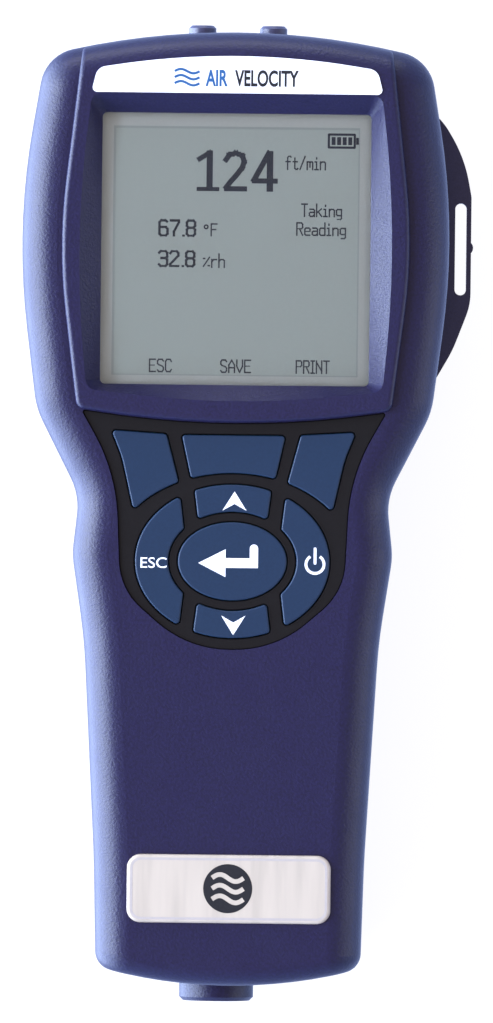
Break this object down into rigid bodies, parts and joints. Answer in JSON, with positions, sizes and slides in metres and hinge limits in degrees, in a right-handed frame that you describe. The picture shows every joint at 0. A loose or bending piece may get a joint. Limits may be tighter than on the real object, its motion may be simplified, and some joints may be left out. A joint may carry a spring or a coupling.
{
  "type": "handheld air velocity meter",
  "caption": "Handheld air velocity meter: a blue moulded case with a large display, a rubber keypad with travelling keys, pressure ports, a round probe socket and a sliding battery door.",
  "frame": {"origin": "middle of the flat back, on the meter's line of symmetry; the meter lies on its back", "axes": "+X to the right of the display, +Y towards the pressure ports, +Z out of the display"},
  "size_m": [0.0978, 0.2117, 0.0525],
  "materials": {
    "case_plastic": "fine matte grain",
    "bracket_plastic": "matte",
    "black_plastic": "matte",
    "white_plastic": "satin",
    "key_plastic": "satin",
    "mat_rubber": "satin",
    "seal_rubber": "matte",
    "tube_rubber": "soft satin",
    "window_glass": "clear",
    "lcd_glass": "satin grey green",
    "backlight": "milky",
    "name_face": "printed white",
    "badge_face": "silvery, clear domed",
    "board": "solder mask",
    "chip_plastic": "matte",
    "ribbon": "film",
    "steel": "bright",
    "spring_steel": "plated",
    "contact_brass": "gold plated",
    "cell_sleeve": "printed sleeve",
    "label_film": "printed film"
  },
  "bodies": {
    "case": {"front_shell": "case_plastic", "rear_shell": "case_plastic", "case_seal": "seal_rubber", "strap_bracket": "bracket_plastic", "rating_label": "label_film", "name_plate": "name_face", "badge_plate": "badge_face", "display_window": "window_glass", "display_gasket": "seal_rubber", "lcd_panel": "lcd_glass", "lcd_backlight": "backlight", "lcd_frame": "white_plastic", "display_cable": "ribbon", "keypad_mat": "mat_rubber", "dome_switches": "steel", "keypad_board": "board", "board_headers": "black_plastic", "main_board": "board", "board_chips": "chip_plastic", "board_screws": "steel", "case_screws": "steel", "port_left": "case_plastic", "port_right": "case_plastic", "port_seals": "seal_rubber", "sensor_tubes": "tube_rubber", "pressure_sensor": "black_plastic", "probe_collar": "case_plastic", "probe_insert": "black_plastic", "probe_contacts": "contact_brass", "usb_socket": "steel", "power_jack": "black_plastic", "battery_holder": "black_plastic", "battery_cells": "cell_sleeve", "battery_springs": "spring_steel", "battery_contacts": "spring_steel"},
    "key_soft_left_body": {"key_soft_left": "key_plastic"},
    "key_soft_center_body": {"key_soft_center": "key_plastic"},
    "key_soft_right_body": {"key_soft_right": "key_plastic"},
    "key_up_body": {"key_up": "key_plastic"},
    "key_escape_body": {"key_escape": "key_plastic"},
    "key_enter_body": {"key_enter": "key_plastic"},
    "key_power_body": {"key_power": "key_plastic"},
    "key_down_body": {"key_down": "key_plastic"},
    "battery_door_body": {"battery_door": "case_plastic"}
  },
  "joints": [
    {"name": "key_soft_left_press", "type": "slide", "parent": "case", "child": "key_soft_left_body", "axis": [0, 0, -1], "range_m": [0, 0.0008], "stiffness_N_per_m": 500, "springref_m": -0.001},
    {"name": "key_soft_center_press", "type": "slide", "parent": "case", "child": "key_soft_center_body", "axis": [0, 0, -1], "range_m": [0, 0.0008], "stiffness_N_per_m": 500, "springref_m": -0.001},
    {"name": "key_soft_right_press", "type": "slide", "parent": "case", "child": "key_soft_right_body", "axis": [0, 0, -1], "range_m": [0, 0.0008], "stiffness_N_per_m": 500, "springref_m": -0.001},
    {"name": "key_up_press", "type": "slide", "parent": "case", "child": "key_up_body", "axis": [0, 0, -1], "range_m": [0, 0.0008], "stiffness_N_per_m": 500, "springref_m": -0.001},
    {"name": "key_escape_press", "type": "slide", "parent": "case", "child": "key_escape_body", "axis": [0, 0, -1], "range_m": [0, 0.0008], "stiffness_N_per_m": 500, "springref_m": -0.001},
    {"name": "key_enter_press", "type": "slide", "parent": "case", "child": "key_enter_body", "axis": [0, 0, -1], "range_m": [0, 0.0008], "stiffness_N_per_m": 500, "springref_m": -0.001},
    {"name": "key_power_press", "type": "slide", "parent": "case", "child": "key_power_body", "axis": [0, 0, -1], "range_m": [0, 0.0008], "stiffness_N_per_m": 500, "springref_m": -0.001},
    {"name": "key_down_press", "type": "slide", "parent": "case", "child": "key_down_body", "axis": [0, 0, -1], "range_m": [0, 0.0008], "stiffness_N_per_m": 500, "springref_m": -0.001},
    {"name": "battery_door_slide", "type": "slide", "parent": "case", "child": "battery_door_body", "axis": [0, -1, 0], "range_m": [0, 0.0075]}
  ]
}
